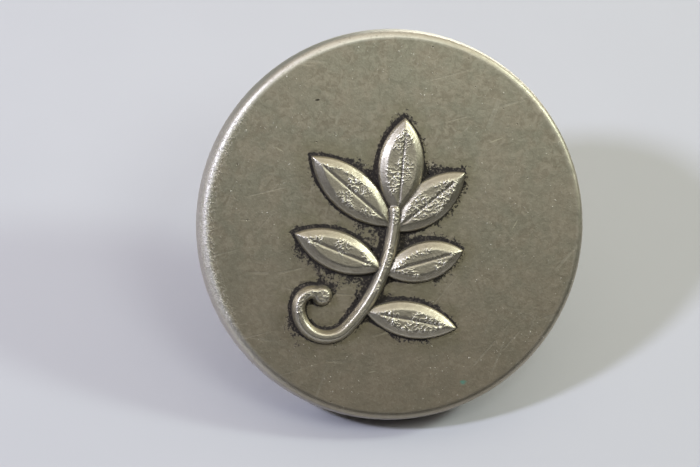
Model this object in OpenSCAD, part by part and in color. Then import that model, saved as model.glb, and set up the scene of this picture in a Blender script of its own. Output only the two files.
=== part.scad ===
// Round button badge: a crimped metal shell with an applied leaf-sprig emblem,
// and a hinged pin with a rotating safety catch on its back.
// The badge stands as it is worn: face towards -Y, top towards +Z, origin at the
// centre of the rear rim plane. Each piece is drawn lying on its back, face up,
// with the rear rim plane at z = 0, and stood_up() turns it upright.

/* [Shell] */
// Outside diameter of the badge
badge_d = 25; // [24.5:0.5:30]
// Height of the shell from the rear rim to the face
shell_h = 2.6; // [2.5:0.1:3.2]
// Thickness of the shell's sheet metal
sheet_t = 0.4; // [0.3:0.05:0.45]
// Radius of the corner between face and side
corner_r = 0.45; // [0.3:0.05:0.6]
// Radius of the bend between side and rear rim
rear_bend_r = 0.5; // [0.46:0.02:0.6]
// Radius of the convex side, seen in section
side_r = 3.4; // [3:0.1:5]
// Inner radius of the rear edge where it is folded in
crimp_inner_r = 10.9; // [10.8:0.1:11.2]

/* [Emblem] */
// Height of the emblem above the face
emblem_h = 0.75; // [0.5:0.05:1]
// How far a leaf's side leans in per unit of height
leaf_draft = 0.6; // [0.4:0.05:0.8]
// Width of the sprig's stem
sprig_stem_w = 0.95; // [0.7:0.05:1.2]
// Radius of the two pegs that pass through the face
peg_r = 0.6; // [0.4:0.05:0.7]

/* [Back plate] */
// Thickness of the back plate
plate_t = 0.35; // [0.25:0.05:0.35]
// Radius of the back plate's raised middle
pan_r = 10.4; // [10.2:0.1:10.5]
// Depth of the back plate's middle in front of the rear rim plane
pan_recess = 0.1; // [0.05:0.05:0.15]

/* [Pin and catch] */
// Height of the pin above the badge's centre
pin_y = 3; // [2.5:0.1:3.2]
// Distance of the pin's axis behind the rear rim plane
pin_depth = 2.6; // [2.6:0.1:3]
// Place of the hinge along the pin
hinge_x = -8.5; // [-8.6:0.1:-8.2]
// Middle of the catch along the pin
catch_x = 7; // [6.8:0.1:7.1]
// Radius of the pin's wire
wire_r = 0.45; // [0.35:0.05:0.45]
// Place of the pin's point
tip_x = 10; // [9.6:0.1:10]

/* [Hidden] */
$fn = 96;
cut = 0.5;                        // how far a cutting shape runs past what it cuts
slack = 0.02;                     // gap round a peg or a rivet in its hole
running = 0.04;                   // gap round a piece that turns

// Section of the shell
badge_r = badge_d / 2;
side_z = shell_h / 2;             // height of the widest point
side_x = badge_r - side_r;        // centre of the side's arc
inner_wall_r = badge_r - sheet_t;
seat_z = sheet_t;                 // inner face of the folded rim
ceiling_z = shell_h - sheet_t;    // inner face of the front
plate_r = inner_wall_r - 0.3;
filler_r = inner_wall_r - 0.25;
filler_z = seat_z + plate_t;

// Emblem
peg_head_r = peg_r + 0.35;
peg_head_h = 0.35;
peg_leaves = [0, 5];              // the leaves that carry a peg
stem_relief = 0.6 * emblem_h;
// Leaves of the sprig: foot, tip and greatest width
leaves = [
    [[ 0.1,  0.6], [ 0.7,  6.9], 3.0],
    [[-0.1, -0.1], [-5.4,  4.5], 2.8],
    [[-0.2, -0.4], [ 4.6,  3.4], 2.7],
    [[-0.7, -2.8], [-6.5, -0.4], 2.6],
    [[-0.8, -3.0], [ 4.5, -1.6], 2.6],
    [[-2.0, -5.4], [ 4.1, -6.6], 2.4]
];
// The sprig's stem: arcs that run on smoothly from each other, each with its
// radius and the angles where it starts and ends
stem_top = [0, 1];
stem_arcs = [[10.6, 0, -45], [1.8, -45, -190], [0.9, -190, -310]];
bulb_r = 0.7;

// Bar, bracket and rivets, one on another behind the back plate
bar_t = 0.5;
bar_w = 3.2;
bar_end = 9.4;                    // reach of the bar to each side
foot_t = 0.35;
foot_w = 2.4;
bar_rear_z = pan_recess - bar_t;
foot_rear_z = bar_rear_z - foot_t;
rivet_places = [hinge_x + 2.4, catch_x - 2.7];
rivet_r = 0.5;
rivet_head_r = 0.9;
rivet_head_h = 0.3;
formed_head_h = 0.2;

// Hinge
axis_z = -pin_depth;
ear_r = 1;
ear_t = 0.5;
eye_r = 1;
eye_t = 0.9;
ear_gap = eye_t + 0.1;
axle_r = 0.38;
axle_head_r = 0.7;
axle_head_h = 0.25;

// Pin
taper_x = catch_x - 2.4;          // the straight wire ends here
point_x = tip_x - 2.2;            // the point starts here
point_r = 0.9 * wire_r;
tip_r = 0.05;

// Catch. Angles run from straight back (0) towards the top of the badge (90).
housing_r = 1.6;
housing_bore_r = 1.15;
housing_l = 2.6;
neck_w = 1.9;
mouth_from = -30;
mouth_to = 115;
rotor_r = housing_bore_r - running;
rotor_bore_r = 0.65;
rotor_slot_w = 1.1;
flange_r = 1.45;
flange_t = 0.35;
tab_angle = 95;                   // the catch is drawn unlocked
tab_root = 0.85;
tab_reach = 2.7;
tab_t = 0.7;
tab_l = 1.8;

function dir(a) = [cos(a), sin(a)];
function heading(v) = atan2(v[1], v[0]);
function behind(a) = a - 90;      // an angle of the catch in its own section

// Centre of arc i of the sprig's stem: each arc starts where the last one ends
function arc_centre(i) =
    i == 0 ? stem_top - stem_arcs[0][0] * dir(stem_arcs[0][1])
           : arc_centre(i - 1) + (stem_arcs[i - 1][0] - stem_arcs[i][0]) * dir(stem_arcs[i][1]);

module stood_up() {
    rotate([90, 0, 0]) children();
}

// Extrudes a section along X, between x0 and x1. The section is drawn about the
// pin's axis, with the badge's top to the right and its face up.
module along_pin(x0, x1) {
    translate([x0, pin_y, axis_z]) rotate([90, 0, 90]) linear_extrude(x1 - x0) children();
}

// A cylinder or a cone on the pin's axis
module pin_round(x0, x1, r0, r1) {
    translate([x0, pin_y, axis_z]) rotate([0, 90, 0]) cylinder(h = x1 - x0, r1 = r0, r2 = r1);
}

// A cylinder on the hinge's axis, centred on the pin
module hinge_round(length, r) {
    translate([hinge_x, pin_y, axis_z]) rotate([90, 0, 0]) cylinder(h = length, r = r, center = true);
}

// A low dome of height h on a circle of radius r
module dome(r, h) {
    ball_r = (r * r + h * h) / (2 * h);
    rotate_extrude() intersection() {
        translate([0, h - ball_r]) circle(r = ball_r);
        square([r, h]);
    }
}

// The holes for the bar's rivets
module rivet_holes() {
    for (x = rivet_places)
        translate([x, pin_y, foot_rear_z - cut]) cylinder(h = 4 * cut, r = rivet_r + slack);
}

// ---- Shell ----

// What a round corner of radius r at c takes off a section, between the
// directions a0 and a1
module corner_waste(c, r, a0, a1) {
    reach = 4 * r;
    translate(c) difference() {
        polygon([[0, 0], reach * dir(a0), 1.5 * reach * dir((a0 + a1) / 2), reach * dir(a1)]);
        circle(r = r);
    }
}

// Section of the shell's outside (inset 0) or inside (inset sheet_t)
module shell_section(inset) {
    arc_r = side_r - inset;
    front_r = max(corner_r - inset, 0);
    rear_r = rear_bend_r - inset;
    front_z = shell_h - inset - front_r;
    rear_z = inset + rear_r;
    front_x = side_x + sqrt(pow(arc_r - front_r, 2) - pow(front_z - side_z, 2));
    rear_x = side_x + sqrt(pow(arc_r - rear_r, 2) - pow(rear_z - side_z, 2));
    difference() {
        intersection() {
            translate([0, inset]) square([badge_r + cut, shell_h - 2 * inset]);
            union() {
                square([side_x + arc_r / 2, shell_h]);
                translate([side_x, side_z]) circle(r = arc_r, $fn = 192);
            }
        }
        if (front_r > 0)
            corner_waste([front_x, front_z], front_r, heading([front_x - side_x, front_z - side_z]), 90);
        corner_waste([rear_x, rear_z], rear_r, -90, heading([rear_x - side_x, rear_z - side_z]));
    }
}

module face_shell() {
    color([0.60, 0.58, 0.50]) stood_up() difference() {
        rotate_extrude($fn = 192) difference() {
            shell_section(0);
            shell_section(sheet_t);
            translate([0, -cut]) square([crimp_inner_r, sheet_t + 2 * cut]);
        }
        peg_columns(ceiling_z - cut, shell_h + cut, peg_r + slack);
    }
}

// ---- Emblem ----

// A pointed leaf from foot to tip: where two leaning cones overlap
module leaf(foot, tip, w) {
    run = tip - foot;
    r = (run * run + w * w) / (4 * w);
    middle = (foot + tip) / 2;
    translate([middle[0], middle[1], shell_h]) rotate([0, 0, heading(run)])
        intersection_for (side = [-1, 1])
            translate([0, side * (r - w / 2), 0])
                cylinder(h = emblem_h, r1 = r, r2 = r - leaf_draft * emblem_h, $fn = 192);
}

// A band of width w along an arc that turns from a0 down to a1
module arc_band(c, r, w, a0, a1) {
    far = 3 * r;
    quarter = (a1 - a0) / 4;
    translate(c) intersection() {
        difference() {
            circle(r = r + w / 2);
            circle(r = r - w / 2);
        }
        polygon(concat([[0, 0]], [for (i = [0 : 4]) far * dir(a0 + i * quarter)]));
    }
}

module sprig_stem() {
    last = len(stem_arcs) - 1;
    for (i = [0 : last])
        arc_band(arc_centre(i), stem_arcs[i][0], sprig_stem_w, stem_arcs[i][1], stem_arcs[i][2]);
    translate(arc_centre(last) + stem_arcs[last][0] * dir(stem_arcs[last][2])) circle(r = bulb_r);
}

// A column from z0 to z1 under the middle of each leaf that carries a peg
module peg_columns(z0, z1, r) {
    for (i = peg_leaves) {
        place = (leaves[i][0] + leaves[i][1]) / 2;
        translate([place[0], place[1], z0]) cylinder(h = z1 - z0, r = r);
    }
}

module emblem() {
    color([0.66, 0.64, 0.56]) stood_up() {
        for (l = leaves) leaf(l[0], l[1], l[2]);
        translate([0, 0, shell_h]) linear_extrude(stem_relief) sprig_stem();
        peg_columns(ceiling_z - peg_head_h, shell_h + stem_relief / 2, peg_r);
        peg_columns(ceiling_z - peg_head_h, ceiling_z, peg_head_r);
    }
}

// ---- Filler and back plate ----

module filler_disc() {
    pocket = 0.1;                 // room round the riveted ends of the pegs
    color([0.62, 0.52, 0.38]) stood_up() difference() {
        translate([0, 0, filler_z]) cylinder(h = ceiling_z - filler_z, r = filler_r);
        peg_columns(ceiling_z - peg_head_h - pocket, ceiling_z + cut, peg_head_r + pocket);
    }
}

module back_plate() {
    rise = seat_z - pan_recess;
    bend = rise / 2;
    color([0.55, 0.54, 0.50]) stood_up() difference() {
        rotate_extrude($fn = 192) polygon([
            [0, pan_recess], [pan_r - bend, pan_recess], [pan_r + bend, seat_z], [plate_r, seat_z],
            [plate_r, filler_z], [pan_r - bend / 3, filler_z],
            [pan_r - bend / 3 - rise, pan_recess + plate_t], [0, pan_recess + plate_t]
        ]);
        rivet_holes();
    }
}

// ---- Pin fastening ----

module pin_bar() {
    corner = 0.6;
    color([0.70, 0.69, 0.66]) stood_up() difference() {
        translate([0, pin_y, bar_rear_z]) linear_extrude(bar_t) {
            square([2 * bar_end - 2 * corner, bar_w], center = true);
            square([2 * bar_end, bar_w - 2 * corner], center = true);
            for (sx = [-1, 1], sy = [-1, 1])
                translate([sx * (bar_end - corner), sy * (bar_w / 2 - corner)]) circle(r = corner);
        }
        rivet_holes();
    }
}

// A foot from x0 to x1 that lies on the bar, with a round end at its rivet
module foot(x0, x1, rivet_x) {
    translate([0, pin_y, foot_rear_z]) linear_extrude(foot_t) {
        translate([x0, -foot_w / 2]) square([x1 - x0, foot_w]);
        translate([rivet_x, 0]) circle(r = foot_w / 2);
    }
}

module hinge_bracket() {
    color([0.68, 0.67, 0.64]) stood_up() difference() {
        union() {
            foot(hinge_x - ear_r, rivet_places[0], rivet_places[0]);
            for (side = [-1, 1])
                translate([hinge_x, pin_y + side * (ear_gap + ear_t) / 2, axis_z])
                    rotate([90, 0, 0]) linear_extrude(ear_t, center = true) {
                        circle(r = ear_r);
                        translate([-ear_r, 0]) square([2 * ear_r, foot_rear_z - axis_z + foot_t / 2]);
                    }
        }
        hinge_round(bar_w, axle_r + slack);
        rivet_holes();
    }
}

module bar_rivets() {
    inner_z = pan_recess + plate_t;
    color([0.74, 0.73, 0.70]) stood_up() for (x = rivet_places) translate([x, pin_y, 0]) {
        translate([0, 0, foot_rear_z]) cylinder(h = inner_z - foot_rear_z, r = rivet_r);
        translate([0, 0, foot_rear_z]) mirror([0, 0, 1]) dome(rivet_head_r, rivet_head_h);
        translate([0, 0, inner_z]) cylinder(h = formed_head_h, r = rivet_head_r);
    }
}

module hinge_rivet() {
    span = ear_gap + 2 * ear_t;
    color([0.74, 0.73, 0.70]) stood_up() {
        hinge_round(span, axle_r);
        for (side = [-1, 1])
            translate([hinge_x, pin_y + side * span / 2, axis_z]) rotate([-side * 90, 0, 0])
                dome(axle_head_r, axle_head_h);
    }
}

module pin_stem() {
    color([0.78, 0.78, 0.77]) stood_up() difference() {
        union() {
            hinge_round(eye_t, eye_r);
            pin_round(hinge_x, taper_x, wire_r, wire_r);
            pin_round(taper_x, point_x, wire_r, point_r);
            pin_round(point_x, tip_x, point_r, tip_r);
        }
        hinge_round(bar_w, axle_r + running);
    }
}

// ---- Safety catch ----

// The part of a section that lies between two directions of the catch
module fan(a0, a1) {
    far = 3 * housing_r;
    quarter = (a1 - a0) / 4;
    polygon(concat([[0, 0]], [for (i = [0 : 4]) far * dir(behind(a0 + i * quarter))]));
}

module catch_housing() {
    x0 = catch_x - housing_l / 2;
    x1 = catch_x + housing_l / 2;
    color([0.70, 0.69, 0.66]) stood_up() difference() {
        union() {
            foot(rivet_places[1], x1, rivet_places[1]);
            along_pin(x0, x1) difference() {
                union() {
                    circle(r = housing_r);
                    translate([-neck_w / 2, 0]) square([neck_w, foot_rear_z - axis_z + foot_t / 2]);
                }
                fan(mouth_from, mouth_to);
            }
        }
        pin_round(x0 - cut, x1 + cut, housing_bore_r, housing_bore_r);
        rivet_holes();
    }
}

module catch_rotor() {
    flange_x = housing_l / 2 + running;
    color([0.76, 0.75, 0.72]) stood_up() difference() {
        union() {
            pin_round(catch_x - flange_x, catch_x + flange_x, rotor_r, rotor_r);
            pin_round(catch_x - flange_x - flange_t, catch_x - flange_x, flange_r, flange_r);
            pin_round(catch_x + flange_x, catch_x + flange_x + flange_t, flange_r, flange_r);
            along_pin(catch_x - tab_l / 2, catch_x + tab_l / 2) rotate(behind(tab_angle)) {
                translate([tab_root, -tab_t / 2]) square([tab_reach - tab_t / 2 - tab_root, tab_t]);
                translate([tab_reach - tab_t / 2, 0]) circle(r = tab_t / 2);
            }
        }
        pin_round(catch_x - 3, catch_x + 3, rotor_bore_r, rotor_bore_r);
        along_pin(catch_x - 3, catch_x + 3) rotate(behind(0))
            translate([0, -rotor_slot_w / 2]) square([housing_r, rotor_slot_w]);
    }
}

face_shell();
emblem();
filler_disc();
back_plate();
pin_bar();
hinge_bracket();
bar_rivets();
hinge_rivet();
pin_stem();
catch_housing();
catch_rotor();
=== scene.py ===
"""The button badge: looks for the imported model. Sizes here are in millimetres in the badge's own
directions, x to the right, y up and z out of the face, until placed() turns them into the row frame."""
import math

import bmesh
import bpy
import numpy as np
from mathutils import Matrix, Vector


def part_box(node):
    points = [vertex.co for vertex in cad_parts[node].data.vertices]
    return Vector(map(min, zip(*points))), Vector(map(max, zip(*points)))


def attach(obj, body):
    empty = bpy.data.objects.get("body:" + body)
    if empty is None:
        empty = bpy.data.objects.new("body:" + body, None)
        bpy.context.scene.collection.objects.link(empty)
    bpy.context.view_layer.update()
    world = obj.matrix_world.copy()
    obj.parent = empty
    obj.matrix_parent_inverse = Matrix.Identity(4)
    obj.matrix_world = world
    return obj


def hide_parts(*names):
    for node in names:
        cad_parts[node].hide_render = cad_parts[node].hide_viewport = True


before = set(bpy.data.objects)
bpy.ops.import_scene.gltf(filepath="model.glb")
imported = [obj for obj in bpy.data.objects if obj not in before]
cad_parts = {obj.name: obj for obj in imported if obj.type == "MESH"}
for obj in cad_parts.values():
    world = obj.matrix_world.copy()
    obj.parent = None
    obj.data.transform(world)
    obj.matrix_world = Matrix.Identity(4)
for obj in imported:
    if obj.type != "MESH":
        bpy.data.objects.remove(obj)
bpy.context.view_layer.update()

MM = 0.001


# ---------------------------------------------------------------- sizes from the frame

def node_box(node):
    """The node's lowest and highest (x, y, z) in badge millimetres."""
    low, high = (np.array(corner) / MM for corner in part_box(node))
    return np.array([low[0], low[2], -high[1]]), np.array([high[0], high[2], -low[1]])


shell_low, shell_high = node_box("face_shell")
emblem_low, emblem_high = node_box("emblem")
BADGE_R = (shell_high[1] - shell_low[1]) / 2
FACE_Z = shell_high[2]
EMBLEM_TOP = emblem_high[2]

# The shell's section, as the CAD has it
SHEET = 0.4
CORNER_R = 0.45
REAR_BEND_R = 0.5
SIDE_R = 3.4
CRIMP_R = 10.9
SIDE_X = BADGE_R - SIDE_R
SIDE_Z = FACE_Z / 2
LIP_R = 0.12             # rounding of the folded rear edge
FLAT_INSET = 0.12        # flat ring between the face's grid and the front bend
OUTER_RINGS = 30         # rings of the section before the rear rim, so all on the shell's outside

# The emblem's sprig, as the CAD has it: foot, tip and width of each leaf, and the stem's arcs
LEAVES = [
    ((0.1, 0.6), (0.7, 6.9), 3.0),
    ((-0.1, -0.1), (-5.4, 4.5), 2.8),
    ((-0.2, -0.4), (4.6, 3.4), 2.7),
    ((-0.7, -2.8), (-6.5, -0.4), 2.6),
    ((-0.8, -3.0), (4.5, -1.6), 2.6),
    ((-2.0, -5.4), (4.1, -6.6), 2.4),
]
STEM_TOP = (0.0, 1.0)
STEM_ARCS = [(10.6, 0, -45), (1.8, -45, -190), (0.9, -190, -310)]
STEM_W = 0.95
BULB_R = 0.7


def placed(points):
    """Badge millimetres to the row frame's metres."""
    p = np.asarray(points, dtype=float)
    return np.stack([p[..., 0], -p[..., 2], p[..., 1]], axis=-1) * MM


# ---------------------------------------------------------------- fields

def smooth(low, high, x):
    t = np.clip((x - low) / (high - low), 0, 1)
    return t * t * (3 - 2 * t)


class Noise:
    """Gradient noise over the plane, about -1 to 1, the same on every run. It repeats after SIZE cells,
    and SHIFT keeps its lattice clear of the badge's centre."""

    SIZE = 256
    SHIFT = (64.37, 64.71)

    def __init__(self, seed):
        rng = np.random.RandomState(seed)
        turn = rng.rand(self.SIZE, self.SIZE) * 2 * math.pi
        self.gx, self.gy = np.cos(turn), np.sin(turn)

    def __call__(self, x, y, pitch):
        x, y = (np.asarray(v) / pitch + shift for v, shift in zip((x, y), self.SHIFT))
        ix, iy = np.floor(x).astype(int), np.floor(y).astype(int)
        fx, fy = x - ix, y - iy
        ux, uy = (f * f * f * (f * (6 * f - 15) + 10) for f in (fx, fy))

        def corner(dx, dy):
            i, j = (ix + dx) % self.SIZE, (iy + dy) % self.SIZE
            return self.gx[i, j] * (fx - dx) + self.gy[i, j] * (fy - dy)

        low = corner(0, 0) * (1 - ux) + corner(1, 0) * ux
        high = corner(0, 1) * (1 - ux) + corner(1, 1) * ux
        return 1.5 * (low * (1 - uy) + high * uy)

    def layers(self, x, y, pitch, count=3):
        """Several scales of the noise, each half the size and half the height of the last."""
        total = sum(0.5 ** i * self(x + 17 * i, y - 11 * i, pitch * 0.5 ** i) for i in range(count))
        return total / (2 - 0.5 ** (count - 1))


def direction(degrees):
    return np.array([math.cos(math.radians(degrees)), math.sin(math.radians(degrees))])


def stem_centres():
    """Centres of the stem's arcs, each of which starts where the last one ends."""
    centres = [np.array(STEM_TOP) - STEM_ARCS[0][0] * direction(STEM_ARCS[0][1])]
    for (r0, _, end), (r1, _, _) in zip(STEM_ARCS, STEM_ARCS[1:]):
        centres.append(centres[-1] + (r0 - r1) * direction(end))
    return centres


def leaf_frame(x, y, leaf):
    """A point's place along a leaf, from its middle, and across it, then half its length and width."""
    foot, tip, width = np.array(leaf[0]), np.array(leaf[1]), leaf[2]
    run = tip - foot
    length = np.linalg.norm(run)
    along, middle = run / length, (foot + tip) / 2
    dx, dy = x - middle[0], y - middle[1]
    return dx * along[0] + dy * along[1], dy * along[0] - dx * along[1], length / 2, width / 2


def leaf_distance(x, y, leaf):
    """Signed distance to a leaf's outline, which is two arcs that meet in points; negative inside."""
    u, v, a, b = leaf_frame(x, y, leaf)
    r = (a * a + b * b) / (2 * b)
    e = r - b
    u, v = np.abs(u), np.abs(v)
    return np.where((u - a) * e > v * a, np.hypot(v, u - a), np.hypot(v + e, u) - r)


def stem_distance(x, y):
    """Signed distance to the stem and its curl."""
    best = np.full(np.shape(x), 1e9)
    centres = stem_centres()
    for (r, start, end), c in zip(STEM_ARCS, centres):
        dx, dy = x - c[0], y - c[1]
        turned = (start - np.degrees(np.arctan2(dy, dx))) % 360
        ends = [c + r * direction(a) for a in (start, end)]
        to_ends = np.minimum(*[np.hypot(x - p[0], y - p[1]) for p in ends])
        best = np.minimum(best, np.where(turned <= start - end, np.abs(np.hypot(dx, dy) - r), to_ends))
    bulb = centres[-1] + STEM_ARCS[-1][0] * direction(STEM_ARCS[-1][2])
    return np.minimum(best - STEM_W / 2, np.hypot(x - bulb[0], y - bulb[1]) - BULB_R)


def blur(field, radius):
    """Gaussian blur of a grid, with radius in cells."""
    reach = int(math.ceil(3 * radius))
    kernel = np.exp(-0.5 * (np.arange(-reach, reach + 1) / radius) ** 2)
    kernel /= kernel.sum()
    for axis in (0, 1):
        field = np.apply_along_axis(
            lambda row: np.convolve(np.pad(row, reach, mode="edge"), kernel, mode="valid"), axis, field)
    return field


# ---------------------------------------------------------------- meshes

def mesh_object(name, points, faces, fields):
    """A smooth-shaded piece from badge millimetres, with its fields as attributes on its points."""
    mesh = bpy.data.meshes.new(name)
    mesh.from_pydata(placed(points).tolist(), [], faces)
    mesh.validate()
    for key, values in fields.items():
        attribute = mesh.attributes.new(key, "FLOAT", "POINT")
        attribute.data.foreach_set("value", np.asarray(values, np.float32))
    mesh.polygons.foreach_set("use_smooth", [True] * len(mesh.polygons))
    obj = bpy.data.objects.new(name, mesh)
    bpy.context.scene.collection.objects.link(obj)
    return obj


def arc(centre, r, start, end, count):
    angles = np.radians(np.linspace(start, end, count))
    return np.stack([centre[0] + r * np.cos(angles), centre[1] + r * np.sin(angles)], axis=1)


def disc_grid(radius, cells):
    """A disc as a bent square grid, whose border points are evenly spaced round the circle: the points'
    (x, y), the quads, and the border's indices from -45 degrees round anticlockwise."""
    side = np.linspace(-1, 1, cells + 1)
    a, b = np.meshgrid(side, side, indexing="ij")
    wide = np.abs(a) >= np.abs(b)
    near = np.where(wide, a, b)
    share = np.where(wide, b, a) / np.where(near == 0, 1, near)
    angle = np.where(wide, share, 2 - share) * math.pi / 4
    points = np.stack([near * np.cos(angle), near * np.sin(angle)], axis=-1) * radius
    index = np.arange((cells + 1) ** 2).reshape(cells + 1, cells + 1)
    quads = np.stack([index[:-1, :-1], index[1:, :-1], index[1:, 1:], index[:-1, 1:]], axis=-1)
    border = np.concatenate([index[-1, :-1], index[:0:-1, -1], index[0, :0:-1], index[:-1, 0]])
    return points.reshape(-1, 2), quads.reshape(-1, 4), border


def turned(radius, height, cells, profile):
    """A closed piece: a flat disc at a height, then rings down a profile of (r, z) that ends on the axis.
    Gives its points, its faces and each point's ring, which is 0 on the disc."""
    flat, quads, border = disc_grid(radius, cells)
    points = [np.column_stack([flat, np.full(len(flat), height)])]
    faces = quads.tolist()
    ring = [np.zeros(len(flat), int)]
    segments = 4 * cells
    angle = -math.pi / 4 + np.arange(segments) * 2 * math.pi / segments
    count = len(flat)
    last = border
    for i, (r, z) in enumerate(profile[:-1], 1):
        points.append(np.column_stack([r * np.cos(angle), r * np.sin(angle), np.full(segments, z)]))
        ring.append(np.full(segments, i))
        this = np.arange(count, count + segments)
        faces += np.column_stack([last, this, np.roll(this, -1), np.roll(last, -1)]).tolist()
        last, count = this, count + segments
    points.append([[0, 0, profile[-1][1]]])
    ring.append([len(profile)])
    faces += np.column_stack([last, np.full(segments, count), np.roll(last, -1)]).tolist()
    return np.concatenate(points), faces, np.concatenate(ring)


# ---------------------------------------------------------------- the shell

def shell_corner(inset, bend, z):
    """Centre of a bend of the shell's section at height z, where it meets the side's arc."""
    reach = SIDE_R - inset - bend
    return np.array([SIDE_X + math.sqrt(reach ** 2 - (z - SIDE_Z) ** 2), z])


FRONT_BEND = shell_corner(0, CORNER_R, FACE_Z - CORNER_R)
REAR_BEND = shell_corner(0, REAR_BEND_R, REAR_BEND_R)


def shell_profile():
    """The shell's section from the edge of the flat face round the rim to the middle of its inside."""
    side = (SIDE_X, SIDE_Z)
    lean_front, lean_rear = (math.degrees(math.atan2(*(p - side)[::-1])) for p in (FRONT_BEND, REAR_BEND))
    inner_r = SIDE_R - SHEET
    inner_rear = shell_corner(SHEET, REAR_BEND_R - SHEET, REAR_BEND_R)
    inner_z = FACE_Z - SHEET - SIDE_Z
    inner_x = math.sqrt(inner_r ** 2 - inner_z ** 2)
    lean_top = math.degrees(math.atan2(inner_z, inner_x))
    lean_low = math.degrees(math.atan2(inner_rear[1] - SIDE_Z, inner_rear[0] - SIDE_X))
    return np.concatenate([
        arc(FRONT_BEND, CORNER_R, 90, lean_front, 11),
        arc(side, SIDE_R, lean_front, lean_rear, 14)[1:],
        arc(REAR_BEND, REAR_BEND_R, lean_rear, -90, 8)[1:],
        [(r, 0) for r in np.linspace(REAR_BEND[0] - 0.15, CRIMP_R + 2 * LIP_R, 4)],
        arc((CRIMP_R + LIP_R, LIP_R), LIP_R, -90, -180, 5),
        arc((CRIMP_R + LIP_R, SHEET - LIP_R), LIP_R, 180, 90, 5),
        arc(inner_rear, REAR_BEND_R - SHEET, -90, lean_low, 4),
        arc(side, inner_r, lean_low, lean_top, 8)[1:],
        [(r, FACE_Z - SHEET) for r in (9.0, 5.0, 0.0)],
    ])


def towards(angle, middle):
    """The cosine of how far an angle round the badge is from a middle one, in degrees."""
    return np.cos(np.radians(angle - middle))


def make_shell():
    """The shell, with what its material needs: edge is 1 on the front bend and side on the wall, rubbed
    and pocked say where the corner is worn and also where it is painted pale as highlight and glints, and
    gap is the distance to the sprig in millimetres."""
    unevenness, pit_depth, knock_depth = 0.008, 0.06, 0.04
    most_rubbed_and_highlit, most_pocked_and_glinting = 155, 177      # angles round the badge where the wear and the painted highlight and glints are strongest
    ground_x, ground_y = -0.07, 0.09         # the dark ground lies a little up and left of the sprig
    far = 9                                  # gap given to all that isn't near the face's grid
    broad, fine, pitted = Noise(11), Noise(12), Noise(13)
    cells = 220
    p, faces, ring = turned(FRONT_BEND[0] - FLAT_INSET, FACE_Z, cells, shell_profile())
    x, y, z = p[:, 0].copy(), p[:, 1].copy(), p[:, 2].copy()
    r, angle = np.hypot(x, y), np.degrees(np.arctan2(y, x))
    outer = ring < OUTER_RINGS
    front = smooth(FACE_Z - 1.5, FACE_Z - 0.2, z) * outer
    gap = crowd_distance(x - ground_x, y - ground_y)
    # soft unevenness of the pressed face, and the pitted ground round the emblem
    p[:, 2] += unevenness * (broad.layers(x, y, 5.0) - 1) * front * smooth(12.4, 11.8, r)
    pits = np.clip(pitted.layers(x, y, 0.30, 2), 0, 1) * smooth(0.35, -0.05, gap)
    p[:, 2] -= pit_depth * pits * front
    # small knocks along the worn corner, deepest on the left
    rim = smooth(11.75, 12.05, r) * front
    left = 0.3 + 0.7 * smooth(75, 20, np.abs(np.abs(angle) - 180))
    knock = np.clip(fine(x, y, 0.55) - 0.25, 0, 1) * knock_depth * rim * left
    scale = 1 - knock / np.maximum(r, 1)
    p[:, 0] *= scale
    p[:, 1] *= scale
    p[:, 2] -= 0.6 * knock
    edge = smooth(FRONT_BEND[0] - 0.1, FRONT_BEND[0] + 0.1, r)
    edge *= smooth(FACE_Z - 0.6, FACE_Z - 0.15, z) * outer
    side = smooth(FACE_Z - 0.2, FACE_Z - 0.5, z) * outer
    # rubbed and pocked mark wear and also the painted highlight and painted glints, strongest at the upper
    # left
    rubbed = 0.2 + 0.8 * smooth(-0.1, 0.85, towards(angle, most_rubbed_and_highlit))
    pocked_and_glinting = smooth(11.3, 12.2, r) * smooth(0.72, 0.99, towards(angle, most_pocked_and_glinting))
    pocked_and_glinting *= smooth(FACE_Z - 1.6, FACE_Z - 0.4, z) * outer
    fields = {"edge": edge, "side": side, "rubbed": rubbed, "pocked_and_glinting": pocked_and_glinting,
              "gap": np.where(ring < 2, gap, far)}
    return mesh_object("badge_shell", p, faces, fields)


# ---------------------------------------------------------------- the emblem

def sprig_distances(x, y):
    """Signed distances to each leaf and to the stem."""
    return np.array([leaf_distance(x, y, leaf) for leaf in LEAVES] + [stem_distance(x, y)])


def crowd_distance(x, y, spread=0.32):
    """Distance to the sprig, less where parts of it crowd together, so hollows between them are near."""
    d = sprig_distances(x, y)
    return -spread * np.log(np.exp(-np.clip(d, -2, 20) / spread).sum(axis=0))


def bevelled(depth, wall=0.10, wall_h=0.36, bevel=0.50, bevel_h=0.36):
    """Height in from a raised part's outline: a steep wall, a broad bevel and a nearly flat top."""
    rise = wall_h * np.sin(np.clip(depth / wall, 0, 1) * math.pi / 2)
    return rise + bevel_h * np.clip((depth - 0.5 * wall) / bevel, 0, 1)


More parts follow.
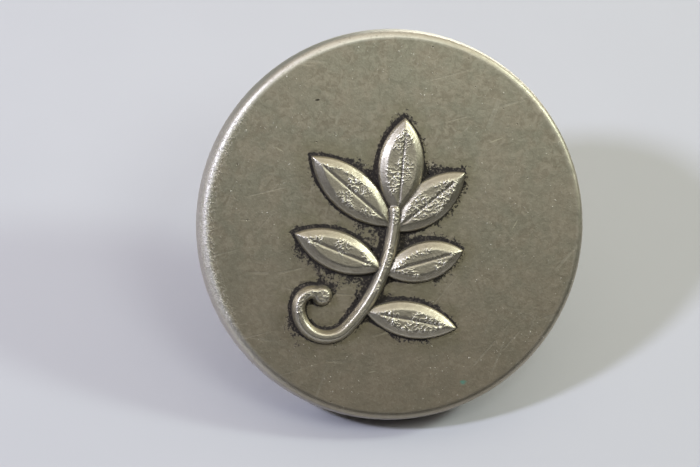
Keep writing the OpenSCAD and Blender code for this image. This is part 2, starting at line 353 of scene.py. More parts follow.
def emblem_fields(x, y, step):
    """The emblem's height above the face, the distance to its outline, and what its material needs:
    hollow and ridge from the height's curvature, worm for the raised squiggles, crease for the veins, and
    rise for the height."""
    vein_depth, worm_height, rounding = 0.07, 0.045, 0.045
    worm, broad = Noise(21), Noise(23)
    relief = EMBLEM_TOP - FACE_Z
    height, top, crease = (np.zeros(np.shape(x)) for _ in range(3))
    distances = sprig_distances(x, y)
    patches = smooth(-0.25, 0.1, broad(x, y, 1.6))
    lines = smooth(0.13, 0.03, np.abs(worm.layers(x, y, 0.30, 2)))
    squiggle = lines * patches
    for i, leaf in enumerate(LEAVES):
        depth = np.clip(-distances[i], 0, None)
        u, v, a, b = leaf_frame(x, y, leaf)
        along = (u + a) / (2 * a)
        level = 0.93 - 0.05 * (i % 3) - 0.10 * smooth(0.35, 0.0, along)
        lifted = bevelled(depth) * level
        vein = smooth(0.10, 0.03, np.abs(v)) * smooth(0.05, 0.2, along) * smooth(0.95, 0.75, along)
        lifted -= vein_depth * vein
        on_top = smooth(0.36, 0.56, depth)
        lifted = np.where(distances[i] < 0, lifted, 0)
        top = np.where(lifted > height, on_top, top)
        crease = np.where(lifted > height, vein, crease)
        height = np.maximum(height, lifted)
    depth = np.clip(-distances[-1], 0, None)
    stem = np.where(distances[-1] < 0, bevelled(depth, wall_h=0.28, bevel=0.26, bevel_h=0.34), 0)
    over = stem > height
    top = np.where(over, 0.6 * smooth(0.22, 0.34, depth), top)
    crease = np.where(over, 0, crease)
    height = blur(np.maximum(height, stem), rounding / step)
    height = np.minimum(height + worm_height * (squiggle - 0.3) * top, relief)
    nearest = distances.min(axis=0)
    hollow = blur(height, 0.10 / step) - height
    fields = {
        "hollow": np.clip(hollow / 0.05, 0, 1),
        "ridge": np.clip(-hollow / 0.03, 0, 1),
        "worm": squiggle * top,
        "crease": crease,
        "rise": np.clip(height / relief, 0, 1),
    }
    return height, nearest, fields


def make_emblem():
    """The sprig as a height field, its border moved on to the outline and walled down to its foot."""
    step = 0.036
    room = 0.3           # margin of the grid round the emblem
    sunk = 0.03          # how far the foot reaches into the face
    xs = np.arange(emblem_low[0] - room, emblem_high[0] + room, step)
    ys = np.arange(emblem_low[1] - room, emblem_high[1] + room, step)
    x, y = np.meshgrid(xs, ys, indexing="ij")
    height, outline, fields = emblem_fields(x, y, step)
    inside = outline < 0
    # points just outside the outline move on to it
    gx, gy = np.gradient(outline, step)
    steep = np.maximum(gx ** 2 + gy ** 2, 0.2)
    back = np.clip(outline, 0, 1.5 * step)
    px = np.where(inside, x, x - back * gx / steep)
    py = np.where(inside, y, y - back * gy / steep)
    cells = inside[:-1, :-1] | inside[1:, :-1] | inside[1:, 1:] | inside[:-1, 1:]
    index = np.arange(x.size).reshape(x.shape)
    quads = np.stack([index[:-1, :-1], index[1:, :-1], index[1:, 1:], index[:-1, 1:]], axis=-1)[cells]
    used, faces = np.unique(quads, return_inverse=True)
    faces = faces.reshape(-1, 4)
    points = np.stack([px, py, FACE_Z + height], axis=-1).reshape(-1, 3)[used]
    obj = mesh_object("leaf_sprig", points, faces.tolist(),
                      {key: values.reshape(-1)[used] for key, values in fields.items()})
    bm = bmesh.new()
    bm.from_mesh(obj.data)
    bmesh.ops.dissolve_degenerate(bm, dist=0.004 * MM, edges=bm.edges)
    rim = [e for e in bm.edges if e.is_boundary]
    skirt = bmesh.ops.extrude_edge_only(bm, edges=rim)["geom"]
    low = [v for v in skirt if isinstance(v, bmesh.types.BMVert)]
    for v in low:
        v.co.y = -(FACE_Z - sunk) * MM
    floor_edges = [e for e in skirt if isinstance(e, bmesh.types.BMEdge)]
    bmesh.ops.triangle_fill(bm, use_beauty=False, edges=floor_edges)
    bmesh.ops.recalc_face_normals(bm, faces=bm.faces)
    bm.to_mesh(obj.data)
    bm.free()
    obj.data.polygons.foreach_set("use_smooth", [True] * len(obj.data.polygons))
    return obj


# ---------------------------------------------------------------- materials

class Nodes:
    """A material's node tree with short ways to add what the materials here use."""

    def __init__(self, name):
        self.material = bpy.data.materials.new(name)
        self.material.use_nodes = True
        self.tree = self.material.node_tree
        self.tree.nodes.clear()
        self.out = self.add("ShaderNodeOutputMaterial")
        self.shader = self.add("ShaderNodeBsdfPrincipled")
        self.link(self.shader.outputs[0], self.out.inputs["Surface"])
        self.place = self.add("ShaderNodeTexCoord").outputs["Object"]

    def add(self, kind, **settings):
        node = self.tree.nodes.new(kind)
        for key, value in settings.items():
            setattr(node, key, value)
        return node

    def link(self, source, target):
        if hasattr(source, "is_output"):
            self.tree.links.new(source, target)
        else:
            target.default_value = source

    def up(self):
        """Height in the badge's own frame, in metres."""
        parts = self.add("ShaderNodeSeparateXYZ")
        self.link(self.place, parts.inputs[0])
        return parts.outputs["Z"]

    def length(self, vector):
        node = self.add("ShaderNodeVectorMath", operation="LENGTH")
        self.link(vector, node.inputs[0])
        return node.outputs["Value"]

    def attribute(self, name):
        return self.add("ShaderNodeAttribute", attribute_name=name).outputs["Fac"]

    def product(self, *factors):
        total = factors[0]
        for factor in factors[1:]:
            total = self.math("MULTIPLY", total, factor)
        return total

    def moved(self, scale=(1, 1, 1), turn=(0, 0, 0), shift=(0, 0, 0)):
        node = self.add("ShaderNodeMapping")
        self.link(self.place, node.inputs["Vector"])
        node.inputs["Scale"].default_value = scale
        node.inputs["Rotation"].default_value = [math.radians(a) for a in turn]
        node.inputs["Location"].default_value = shift
        return node.outputs[0]

    def noise(self, pitch_mm, detail=2.0, rough=0.5, vector=None, distortion=0.0):
        node = self.add("ShaderNodeTexNoise")
        self.link(vector or self.place, node.inputs["Vector"])
        node.inputs["Scale"].default_value = 1 / (pitch_mm * MM)
        node.inputs["Detail"].default_value = detail
        node.inputs["Roughness"].default_value = rough
        node.inputs["Distortion"].default_value = distortion
        return node.outputs["Fac"]

    def specks(self, pitch_mm):
        """Distance from the nearest of scattered points, in units of their pitch."""
        node = self.add("ShaderNodeTexVoronoi")
        self.link(self.place, node.inputs["Vector"])
        node.inputs["Scale"].default_value = 1 / (pitch_mm * MM)
        return node.outputs["Distance"]

    def ramp(self, value, low, high, from_=0.0, to=1.0):
        node = self.add("ShaderNodeMapRange", interpolation_type="SMOOTHSTEP")
        self.link(value, node.inputs["Value"])
        node.inputs["From Min"].default_value = low
        node.inputs["From Max"].default_value = high
        node.inputs["To Min"].default_value = from_
        node.inputs["To Max"].default_value = to
        return node.outputs["Result"]

    def math(self, operation, a, b=0.0, c=0.0, clamp=False):
        node = self.add("ShaderNodeMath", operation=operation, use_clamp=clamp)
        for socket, value in zip(node.inputs, (a, b, c)):
            self.link(value, socket)
        return node.outputs[0]

    def mix(self, factor, a, b):
        node = self.add("ShaderNodeMix", data_type="RGBA")
        self.link(factor, node.inputs["Factor"])
        for socket, value in ((node.inputs[6], a), (node.inputs[7], b)):
            self.link(value if hasattr(value, "is_output") else (*value, 1), socket)
        return node.outputs[2]

    def reach(self, middle, sizes_mm, turn=0):
        """Distance from a point in metres, counted in sizes along x, y and z that are turned about y."""
        local = self.add("ShaderNodeMapping", vector_type="TEXTURE")
        self.link(self.place, local.inputs["Vector"])
        local.inputs["Location"].default_value = middle
        local.inputs["Rotation"].default_value = (0, -math.radians(turn), 0)
        local.inputs["Scale"].default_value = [size * MM for size in sizes_mm]
        return self.length(local.outputs[0])

    def spot(self, point, half_length, half_width, turn, wobble=None):
        """1 within an oval round a point of the face, falling to 0 past it, with its length turned
        anticlockwise from the badge's x axis. All in millimetres and degrees."""
        reach = self.reach(placed((*point, FACE_Z)), (half_length, 1, half_width), turn)
        if wobble is not None:
            reach = self.math("ADD", wobble, reach)
        return self.ramp(reach, 1.4, 0.7)

    def scratches(self, count, seed, pitch_mm):
        """Fine straight scratches in several directions, as a mask."""
        thin = 0.03
        rng = np.random.RandomState(seed)
        total = None
        for _ in range(count):
            turn = rng.uniform(0, 180)
            shift = rng.uniform(-1, 1, 3)
            along = self.moved(turn=(0, turn, 0), shift=shift)
            stretch = self.add("ShaderNodeMapping")
            self.link(along, stretch.inputs["Vector"])
            stretch.inputs["Scale"].default_value = (0.05, 1, 1)
            lines = self.noise(pitch_mm, 1.0, 0.5, stretch.outputs[0], 0.4)
            gate = self.noise(pitch_mm * 6, 1.0, 0.5, along)
            mask = self.math("MULTIPLY", self.ramp(lines, 0.70, 0.70 + thin),
                             self.ramp(gate, 0.5, 0.6))
            total = mask if total is None else self.math("MAXIMUM", total, mask)
        return total

    def bump(self, height, depth_mm, under=None):
        node = self.add("ShaderNodeBump")
        node.inputs["Strength"].default_value = 1.0
        node.inputs["Distance"].default_value = depth_mm * MM
        self.link(height, node.inputs["Height"])
        if under is not None:
            self.link(under, node.inputs["Normal"])
        return node.outputs[0]

    def finish(self, colour, roughness, metallic, normal=None):
        for key, value in (("Base Color", colour), ("Roughness", roughness), ("Metallic", metallic)):
            self.link(value, self.shader.inputs[key])
        if normal is not None:
            self.link(normal, self.shader.inputs["Normal"])
        return self.material


# Single marks on the face: middle, half length, half width and turn
HAIR_W = 0.035
HAIRS = [
    ((7.85, 0.0), 0.34, HAIR_W, 58),
    ((-6.4, -0.3), 0.30, HAIR_W, -75),
    ((6.6, 5.4), 0.50, HAIR_W, 20),
    ((-7.4, 4.9), 0.26, HAIR_W, -30),
    ((-1.4, -9.3), 0.24, HAIR_W, 10),
]
NICK = ((-4.93, 8.0), 0.14, 0.05, 5)
VERDIGRIS = ((4.5, -10.05), 0.28, 0.22, 0)


def face_metal(n, grain, blotch, up):
    """The face's matt metal: mottled grey with greener and tanner clouds, and painted shade that makes it
    warmer and a little darker towards the bottom.
    """
    grey = (0.325, 0.289, 0.215)
    pale_grey = (0.436, 0.392, 0.301)
    green_grey = (0.348, 0.346, 0.268)
    tan = (0.425, 0.372, 0.285)
    painted_shade_warm = (0.375, 0.316, 0.234)
    bright_grain = (0.56, 0.52, 0.42)
    dark_grain = (0.22, 0.19, 0.14)
    mottle = n.noise(0.42, 3, 0.60, distortion=0.8)
    patch = n.noise(4.0, 3, 0.55)
    colour = n.mix(n.ramp(mottle, 0.36, 0.64), grey, pale_grey)
    colour = n.mix(n.ramp(blotch, 0.40, 0.60, 0, 0.45), colour, green_grey)
    colour = n.mix(n.ramp(patch, 0.45, 0.62, 0, 0.40), colour, tan)
    # painted shade: warmer and a little darker towards the badge's bottom
    colour = n.mix(n.ramp(up, 0.3, -1.0, 0, 0.60), colour, painted_shade_warm)
    colour = n.mix(n.ramp(grain, 0.52, 0.76, 0, 0.34), colour, bright_grain)
    colour = n.mix(n.ramp(grain, 0.42, 0.26, 0, 0.32), colour, dark_grain)
    return colour, mottle


def face_marks(n, colour):
    """Scattered pits, flecks and scratches, the single marks, and the height that they give the face."""
    pit = (0.08, 0.07, 0.05)
    fleck = (0.80, 0.765, 0.66)
    scratched = (0.72, 0.69, 0.58)
    nicked = (0.03, 0.025, 0.02)
    verdigris = (0.17, 0.52, 0.42)
    hair_tone = (0.75, 0.70, 0.52)
    pits = n.product(n.ramp(n.specks(0.8), 0.07, 0.03), n.ramp(n.noise(2.2), 0.48, 0.56))
    colour = n.mix(n.product(pits, 0.6), colour, pit)
    fleck_shape = n.noise(0.20, 2, 0.5, n.moved(shift=(0.3, 0.1, 0.7)))
    flecks = n.product(n.ramp(fleck_shape, 0.66, 0.72), n.ramp(n.noise(1.6, 2, 0.5), 0.48, 0.60))
    colour = n.mix(n.product(flecks, 0.75), colour, fleck)
    scratch = n.scratches(4, 7, 0.5)
    colour = n.mix(n.product(scratch, 0.12), colour, scratched)
    colour = n.mix(n.spot(*NICK), colour, nicked)
    spot = n.spot(*VERDIGRIS, n.noise(0.15))
    colour = n.mix(n.product(spot, 0.7), colour, verdigris)
    for hair in HAIRS:
        colour = n.mix(n.product(n.spot(*hair), 0.45), colour, hair_tone)
    raised = n.math("MULTIPLY_ADD", pits, -1, n.product(scratch, -0.12))
    return colour, n.math("MULTIPLY_ADD", flecks, 0.4, raised)


def worn_rim(n, colour, pocked_and_glinting, up):
    """The rim: pale where it's rubbed, with a painted highlight there at the upper left; its wall painted
    paler low down as a painted reflection and greener and darker on top as painted shade; painted shade in
    brown along the corner where it rests.
    """
    wall_painted_reflection_low = (0.64, 0.60, 0.56)
    wall_painted_shade_high = (0.40, 0.415, 0.34)
    worn_and_highlit_edge = (0.83, 0.80, 0.71)
    pocked_and_glinting_edge = (0.80, 0.75, 0.70)
    painted_shade_low_edge = (0.16, 0.135, 0.085)
    painted_shade_low_side = (0.17, 0.15, 0.11)
    edge, side, rubbed = (n.attribute(name) for name in ("edge", "side", "rubbed"))
    # painted reflection and shade: the wall is paler low down, as if mirroring the pale surface, and
    # darker and greener on top
    wall = n.mix(n.ramp(up, 0.3, 0.9), wall_painted_reflection_low, wall_painted_shade_high)
    colour = n.mix(n.product(side, 0.65), colour, wall)
    # partly wear, partly painted highlight: the corner and its pocks are painted pale, most at the upper
    # left
    worn = n.product(edge, n.ramp(n.noise(0.25, 3, 0.6), 0.25, 0.5, 0.5, 1.0), rubbed)
    colour = n.mix(n.product(worn, 0.8), colour, worn_and_highlit_edge)
    pocks_and_glints = n.product(pocked_and_glinting, n.ramp(n.noise(0.14, 2, 0.6), 0.48, 0.60))
    colour = n.mix(n.product(pocks_and_glints, 0.4), colour, pocked_and_glinting_edge)
    # painted shade: dark brown on the lowest corner and wall, where the badge rests
    low = n.ramp(up, -0.60, -0.92)
    colour = n.mix(n.product(edge, 0.3, low), colour, painted_shade_low_edge)
    colour = n.mix(n.product(side, 0.25, low), colour, painted_shade_low_side)
    return colour, pocks_and_glints


def caught_grime(n, colour, blotch):
    """Grime round the emblem: solid against it, breaking into specks, then a faint stain."""
    stained = (0.30, 0.265, 0.165)
    soot_dark = (0.016, 0.012, 0.009)
    soot_pale = (0.15, 0.125, 0.09)
    gap = n.attribute("gap")
    crumbs = n.noise(0.19, 4, 0.72)
    reach = n.math("MULTIPLY_ADD", n.noise(1.7, 3, 0.5), 2.2, -0.95)
    level = n.math("MULTIPLY_ADD", n.math("SUBTRACT", reach, gap), 0.50, crumbs)
    level = n.math("MULTIPLY_ADD", n.ramp(gap, 0.16, 0.02), 0.30, level)
    grime = n.ramp(level, 0.47, 0.56)
    stain = n.ramp(gap, 1.5, 0.1, 0.0, 0.5)
    colour = n.mix(n.product(stain, n.ramp(blotch, 0.3, 0.6)), colour, stained)
    soot = n.mix(n.ramp(n.noise(0.12, 3, 0.7), 0.52, 0.68), soot_dark, soot_pale)
    return n.mix(grime, colour, soot), grime


def face_material():
    """Worn nickel silver: fine matt grain, faint blotches, hair scratches, a few pits, painted shade
    towards the bottom, a paler worn rim with painted highlight, reflection and shade on it, and dark grime
    caught in the rough ground round the emblem."""
    n = Nodes("worn_nickel_silver")
    grain = n.noise(0.17, 3, 0.70, distortion=0.5)
    blotch = n.noise(1.4, 4, 0.6)
    up = n.math("DIVIDE", n.up(), BADGE_R * MM)      # -1 at the badge's bottom to 1 at its top
    pocked_and_glinting = n.attribute("pocked_and_glinting")
    colour, mottle = face_metal(n, grain, blotch, up)
    colour, raised = face_marks(n, colour)
    colour, pocks_and_glints = worn_rim(n, colour, pocked_and_glinting, up)
    colour, grime = caught_grime(n, colour, blotch)
    rough = n.ramp(blotch, 0.3, 0.7, 0.455, 0.415)
    for cause, amount in ((grain, 0.08), (pocked_and_glinting, 0.06)):
        rough = n.math("MULTIPLY_ADD", cause, amount, rough)
    rough = n.math("MULTIPLY_ADD", grime, 0.25, rough, clamp=True)
    metallic = n.ramp(grime, 0.0, 1.0, 1.0, 0.1)
    normal = None
    for height, depth in ((n.noise(0.8, 3, 0.6), 0.008), (mottle, 0.006), (grain, 0.007), (raised, 0.02),
                          (pocks_and_glints, 0.025)):
        normal = n.bump(height, depth, normal)
    return n.finish(colour, rough, metallic, normal)


def emblem_material():
    """The same metal, rubbed pale on its tops and ridges, near black where grime has stayed."""
    grey = (0.37, 0.333, 0.257)
    pale_grey = (0.45, 0.41, 0.318)
    bright_grain = (0.56, 0.52, 0.41)
    rubbed = (0.70, 0.66, 0.55)
    squiggle = (0.88, 0.84, 0.70)
    grime = (0.035, 0.028, 0.021)
    n = Nodes("rubbed_emblem")
    grain = n.noise(0.12, 3, 0.65)
    blotch = n.noise(0.7, 3, 0.6)
    hollow, ridge, worm = (n.attribute(name) for name in ("hollow", "ridge", "worm"))
    crease, rise = (n.attribute(name) for name in ("crease", "rise"))
    metal = n.mix(n.ramp(blotch, 0.35, 0.65), grey, pale_grey)
    metal = n.mix(n.ramp(grain, 0.40, 0.72, 0, 0.4), metal, bright_grain)
    metal = n.mix(n.product(ridge, 0.40), metal, rubbed)
    metal = n.mix(n.product(worm, 0.9), metal, squiggle)
    # grime in the hollows, at the foot of the walls and in the veins
    crumbs = n.noise(0.16, 3, 0.7)
    foot = n.ramp(rise, 0.42, 0.10)
    caught = n.product(hollow, n.ramp(crumbs, 0.25, 0.6, 0.45, 1.1))
    caught = n.math("MAXIMUM", caught, n.product(foot, n.ramp(crumbs, 0.2, 0.55, 0.6, 1.0)))
    caught = n.math("MAXIMUM", caught, n.product(crease, 0.55))
    dark = n.ramp(caught, 0.15, 0.85)
    colour = n.mix(dark, metal, grime)
    rough = n.math("MULTIPLY_ADD", grain, 0.08, n.ramp(blotch, 0.3, 0.7, 0.48, 0.40))
    rough = n.math("MULTIPLY_ADD", ridge, -0.08, rough)
    rough = n.math("MULTIPLY_ADD", dark, 0.35, rough, clamp=True)
    metallic = n.ramp(dark, 0.2, 1.0, 1.0, 0.15)
    normal = n.bump(blotch, 0.02)
    normal = n.bump(grain, 0.014, normal)
    return n.finish(colour, rough, metallic, normal)


def sheet_metal(name, dark, light, rough, lines_along=(0.04, 1, 1), lines=0.5, seam=None):
    """Sheet or wire with the fine lines of rolling or drawing, tarnish clouds, rubbed patches, spots and
    hair scratches. Grime gathers outside the radius seam, in millimetres."""
    tarnished = (0.30, 0.255, 0.17)
    spotted = (0.10, 0.075, 0.05)
    grime = (0.06, 0.05, 0.035)
    n = Nodes(name)
    rolled = n.noise(0.09, 3, 0.6, n.moved(scale=lines_along))
    grain = n.noise(0.16, 4, 0.65)
    cloud = n.noise(2.2, 4, 0.6)
    patch = n.noise(5.0, 2, 0.5, n.moved(shift=(0.9, 0.2, 0.4)))
    colour = n.mix(n.ramp(grain, 0.3, 0.7), dark, light)
    colour = n.mix(n.ramp(rolled, 0.40, 0.62, 0, 0.35 * lines), colour, [c * 0.72 for c in dark])
    tarnish = n.ramp(cloud, 0.50, 0.72)
    colour = n.mix(n.product(tarnish, 0.55), colour, tarnished)
    bright = n.product(n.ramp(patch, 0.50, 0.62), n.ramp(grain, 0.25, 0.75))
    colour = n.mix(n.product(bright, 0.3), colour, [min(1, c * 1.2) for c in light])
    spots = n.product(n.ramp(n.specks(0.9), 0.10, 0.04), n.ramp(n.noise(2.6), 0.48, 0.58))
    colour = n.mix(n.product(spots, 0.6), colour, spotted)
    scratch = n.scratches(4, 3, 0.4)
    colour = n.mix(n.product(scratch, 0.3), colour, [min(1, c * 1.3) for c in light])
    roughness = n.math("MULTIPLY_ADD", tarnish, 0.14, n.ramp(grain, 0.3, 0.7, rough - 0.03, rough + 0.05))
    roughness = n.math("MULTIPLY_ADD", bright, -0.06, roughness)
    metallic = 1.0
    if seam is not None:
        from_middle = n.length(n.moved(scale=(1, 0, 1)))
        ring = n.ramp(from_middle, (seam - 0.8) * MM, (seam + 0.2) * MM)
        dirt = n.ramp(n.math("MULTIPLY_ADD", ring, 0.75, n.noise(0.9, 2, 0.5)), 0.62, 1.25)
        colour = n.mix(dirt, colour, grime)
        roughness = n.math("MULTIPLY_ADD", dirt, 0.3, roughness)
        metallic = n.ramp(dirt, 0, 1, 1.0, 0.3)
    raised = n.math("MULTIPLY_ADD", spots, -1, n.product(scratch, -0.3))
    normal = None
    for height, depth in ((rolled, 0.004 * lines), (grain, 0.004), (cloud, 0.02), (raised, 0.012)):
        normal = n.bump(height, depth, normal)
    return n.finish(colour, roughness, metallic, normal)


def card_material():
    n = Nodes("greyboard")
    fibre = n.noise(0.25, 5, 0.7)
    colour = n.mix(fibre, (0.30, 0.24, 0.16), (0.50, 0.42, 0.30))
    return n.finish(colour, 0.9, 0.0, n.bump(fibre, 0.03))


# ---------------------------------------------------------------- pieces

def stand_for(obj, node, body, material):
    """The piece replaces its CAD node, rides on its body and takes its material."""
    obj.data.materials.clear()
    obj.data.materials.append(material)
    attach(obj, body)
    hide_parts(node)


WELD_DISTANCE = 0.001    # joins the CAD mesh's split points, so that its edges can be bevelled
SHARP_ANGLE = 35


def keep_node(node, material, soften=0.0):
    """The CAD node is shown as it is, in its material, its sharp edges broken by soften millimetres."""
    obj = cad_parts[node]
    for slot in obj.material_slots:
        slot.material = material
    if soften:
        weld = obj.modifiers.new("weld", "WELD")
        weld.merge_threshold = WELD_DISTANCE * MM
        bevel = obj.modifiers.new("soften", "BEVEL")
        bevel.width = soften * MM
        bevel.segments = 2
        bevel.limit_method = "ANGLE"
        bevel.angle_limit = math.radians(SHARP_ANGLE)
        bevel.harden_normals = True


stand_for(make_shell(), "face_shell", "badge", face_material())
stand_for(make_emblem(), "emblem", "badge", emblem_material())
keep_node("filler_disc", card_material())
dull = sheet_metal("back_plate_metal", dark=(0.40, 0.375, 0.315), light=(0.50, 0.475, 0.405), rough=0.36,
                   seam=CRIMP_R - 0.3)
keep_node("back_plate", dull, 0.04)
fitting = sheet_metal("plated_fitting", dark=(0.60, 0.59, 0.56), light=(0.68, 0.67, 0.64), rough=0.27,
                      lines=0.3)
steel = sheet_metal("plated_rivet", dark=(0.58, 0.57, 0.54), light=(0.72, 0.71, 0.68), rough=0.25,
                    lines_along=(1, 1, 1), lines=0.2)
wire = sheet_metal("drawn_wire", dark=(0.60, 0.60, 0.60), light=(0.76, 0.76, 0.76), rough=0.20,
                   lines_along=(0.03, 1, 1), lines=0.8)
for node in ("pin_bar", "hinge_bracket", "catch_housing", "catch_rotor"):
    keep_node(node, fitting, 0.05)
for node in ("bar_rivets", "hinge_rivet"):
    keep_node(node, steel, 0.04)
keep_node("pin_stem", wire)


# ---------------------------------------------------------------- surface, light and camera

# From here on lengths are in metres, unless a name or comment says otherwise
LEAN = 40.0                       # angle between the badge's back and the surface it stands on
SURFACE_SIZE = 0.6                # half the surface's side
SURFACE_FADE = (0.036, 0.075)     # distances from the badge where the surface starts to fade and is gone
CONTACT_SHADOW_SIZE = (5.5, 1.5, 1.5)      # half sizes in millimetres of the painted contact shadow where the badge touches
# painted shading of the paper: darker low down, paler higher up
PAPER_SHADED_LOW = (0.580, 0.585, 0.605)
PAPER_LIT_HIGH = (0.645, 0.65, 0.67)
PAPER_CLOUD = (0.5, 0.5, 0.52)
PAPER_CONTACT_SHADOW = (0.10, 0.085, 0.08)
BEYOND = (0.62, 0.625, 0.645)     # what the camera sees past the surface


def make_surface():
    """A wide pale surface that the badge stands on by its lower rim. It's seen from above only."""
    lean = math.radians(LEAN)
    normal = Vector((0, -math.cos(lean), math.sin(lean)))
    slope = Vector((0, math.sin(lean), math.cos(lean))) * SURFACE_SIZE
    side = Vector((1, 0, 0)) * SURFACE_SIZE
    # the lowest points of the rear bend and of the front bend, whichever reaches further
    bends = ((REAR_BEND, REAR_BEND_R), (FRONT_BEND, CORNER_R))
    lows = [Vector((0, -b[1], -b[0])) * MM - normal * bend * MM for b, bend in bends]
    foot = min(lows, key=lambda point: point.dot(normal))
    corners = [foot + side * sx + slope * sz for sx, sz in ((-1, -1), (1, -1), (1, 1), (-1, 1))]
    mesh = bpy.data.meshes.new("surface")
    mesh.from_pydata(corners, [], [(0, 1, 2, 3)])
    mesh.update()
    if mesh.polygons[0].normal.dot(normal) < 0:
        mesh.flip_normals()
    obj = bpy.data.objects.new("surface", mesh)
    bpy.context.scene.collection.objects.link(obj)
    n = Nodes("pale_paper")
    n.shader.inputs["Specular IOR Level"].default_value = 0.2
    # painted shade: the paper darker low down and paler higher up
    paper = n.mix(n.ramp(n.up(), -0.016, 0.018), PAPER_SHADED_LOW, PAPER_LIT_HIGH)
    paper = n.mix(n.ramp(n.noise(6, 2), 0.3, 0.7, 0, 0.04), paper, PAPER_CLOUD)
    # painted shadow: the paper darkened round the point where the badge touches it
    contact_shadow = n.ramp(n.reach(foot, CONTACT_SHADOW_SIZE), 1.0, 0.1, 0, 0.8)
    n.finish(n.mix(contact_shadow, paper, PAPER_CONTACT_SHADOW), 0.8, 0.0)
    clear = n.add("ShaderNodeBsdfTransparent")
    sides = n.add("ShaderNodeMixShader")
    gone = n.ramp(n.length(n.place), *SURFACE_FADE)
    under = n.add("ShaderNodeNewGeometry").outputs["Backfacing"]
    n.link(n.math("MAXIMUM", under, gone), sides.inputs[0])
    n.link(n.shader.outputs[0], sides.inputs[1])
    n.link(clear.outputs[0], sides.inputs[2])
    n.link(sides.outputs[0], n.out.inputs["Surface"])
    obj.data.materials.append(n.material)
    obj.visible_shadow = False


def look_from(azimuth, elevation):
    a, e = math.radians(azimuth), math.radians(elevation)
    return Vector((math.sin(a) * math.cos(e), -math.cos(a) * math.cos(e), math.sin(e)))


# Lamps: name, azimuth, elevation, distance, diameter, power in watts and colour
LAMPS = [
    ("window_left", -48.6, 19.6, 0.30, 0.034, 0.545, (0.735, 0.77, 1.0)),
    ("lamp_right", 65.7, 28.8, 0.30, 0.05, 0.285, (0.88, 1.0, 0.93)),
    ("lamp_above", 16, 22.0, 0.105, 0.045, 0.0172, (0.94, 1.0, 0.95)),
    ("lamp_behind", 150, 30.0, 0.30, 0.20, 0.60, (1.0, 0.97, 0.92)),
]
# Lamps that only the badge's metal shows
GLEAMS = [
    ("gleam_left", -78, 16.0, 0.30, 0.12, 0.075, (1.0, 0.94, 0.97)),
    ("gleam_right", 76, 34.0, 0.30, 0.26, 0.17, (1.0, 0.99, 0.80)),
]


def soft_light(name, azimuth, elevation, distance, size, power, colour, gleam_only=False):
    """A round lamp that faces the badge. One that only gleams is seen in metal and lights nothing else."""
    lamp = bpy.data.lights.new(name, "AREA")
    lamp.shape = "DISK"
    lamp.size = size
    lamp.energy = power
    lamp.color = colour
    obj = bpy.data.objects.new(name, lamp)
    obj.location = look_from(azimuth, elevation) * distance
    obj.rotation_euler = (-obj.location).to_track_quat("-Z", "Y").to_euler()
    obj.visible_diffuse = not gleam_only
    bpy.context.scene.collection.objects.link(obj)


# Pale parts of the room that light the badge: where each is seen from the badge, the cosine at which it
# has faded out, its brightness and its colour
ROOM = [
    ((15, 62), 0.35, 0.92, (1.0, 0.92, 0.80)),
    ((212, 12), 0.45, 0.45, (1.0, 0.97, 0.93)),
    ((-52, -30), 0.60, 0.14, (0.94, 0.94, 1.0)),
]


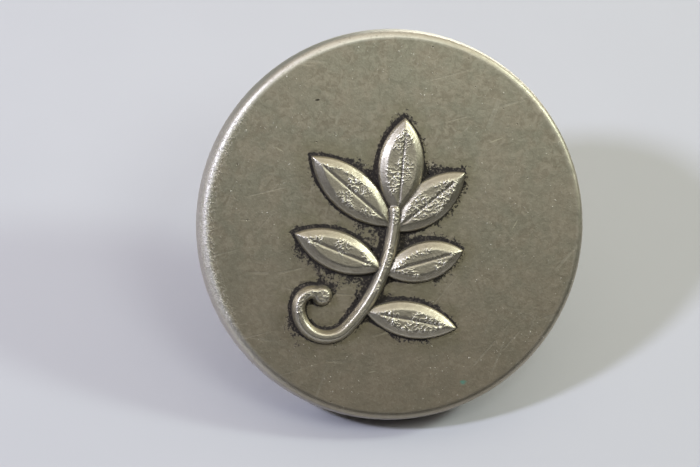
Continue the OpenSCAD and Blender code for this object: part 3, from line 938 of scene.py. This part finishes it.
def make_world():
    """Even pale surroundings for the camera, and a darker room with pale parts for the light."""
    world = bpy.data.worlds.new("studio")
    bpy.context.scene.world = world
    world.use_nodes = True
    tree = world.node_tree
    tree.nodes.clear()
    coords = tree.nodes.new("ShaderNodeTexCoord").outputs["Generated"]
    room = None
    for angles, edge, brightness, colour in ROOM:
        facing = tree.nodes.new("ShaderNodeVectorMath")
        facing.operation = "DOT_PRODUCT"
        facing.inputs[1].default_value = look_from(*angles)
        tree.links.new(coords, facing.inputs[0])
        fade = tree.nodes.new("ShaderNodeMapRange")
        fade.interpolation_type = "SMOOTHSTEP"
        fade.inputs["From Min"].default_value = edge
        fade.inputs["To Max"].default_value = brightness
        tree.links.new(facing.outputs["Value"], fade.inputs["Value"])
        glow = tree.nodes.new("ShaderNodeBackground")
        glow.inputs["Color"].default_value = (*colour, 1)
        tree.links.new(fade.outputs["Result"], glow.inputs["Strength"])
        if room is None:
            room = glow
        else:
            both = tree.nodes.new("ShaderNodeAddShader")
            tree.links.new(room.outputs[0], both.inputs[0])
            tree.links.new(glow.outputs[0], both.inputs[1])
            room = both
    seen = tree.nodes.new("ShaderNodeBackground")
    seen.inputs["Color"].default_value = (*BEYOND, 1)
    pick = tree.nodes.new("ShaderNodeMixShader")
    path = tree.nodes.new("ShaderNodeLightPath")
    out = tree.nodes.new("ShaderNodeOutputWorld")
    tree.links.new(path.outputs["Is Camera Ray"], pick.inputs[0])
    tree.links.new(room.outputs[0], pick.inputs[1])
    tree.links.new(seen.outputs[0], pick.inputs[2])
    tree.links.new(pick.outputs[0], out.inputs["Surface"])


CAMERA_ANGLES = (-9.5, 3.0)       # azimuth and elevation of the camera, seen from the badge
CAMERA_LENS = 180.0               # focal length and sensor width, in millimetres
CAMERA_SENSOR = 36.0
VIEW_IN_BADGES = 1.7903           # the view's width, in badge diameters
AIM_LEFT = 0.0579                 # how far the view's middle is from the badge's, in view widths
AIM_DOWN = 0.0126


def make_camera():
    camera = bpy.data.cameras.new("camera")
    camera.sensor_width = CAMERA_SENSOR
    camera.lens = CAMERA_LENS
    obj = bpy.data.objects.new("camera", camera)
    bpy.context.scene.collection.objects.link(obj)
    bpy.context.scene.camera = obj
    view_width = VIEW_IN_BADGES * 2 * BADGE_R * MM
    away = look_from(*CAMERA_ANGLES)
    distance = CAMERA_LENS / CAMERA_SENSOR * view_width
    obj.rotation_euler = (-away).to_track_quat("-Z", "Y").to_euler()
    turn = obj.rotation_euler.to_matrix()
    right, up = turn @ Vector((1, 0, 0)), turn @ Vector((0, 1, 0))
    middle = Vector((0, -SIDE_Z * MM, 0))
    aim = middle - right * (AIM_LEFT * view_width) - up * (AIM_DOWN * view_width)
    obj.location = aim + away * distance
    camera.clip_start = MM


make_surface()
make_world()
make_camera()
for lamp in LAMPS:
    soft_light(*lamp)
for lamp in GLEAMS:
    soft_light(*lamp, gleam_only=True)
bpy.context.scene.view_settings.view_transform = "Standard"
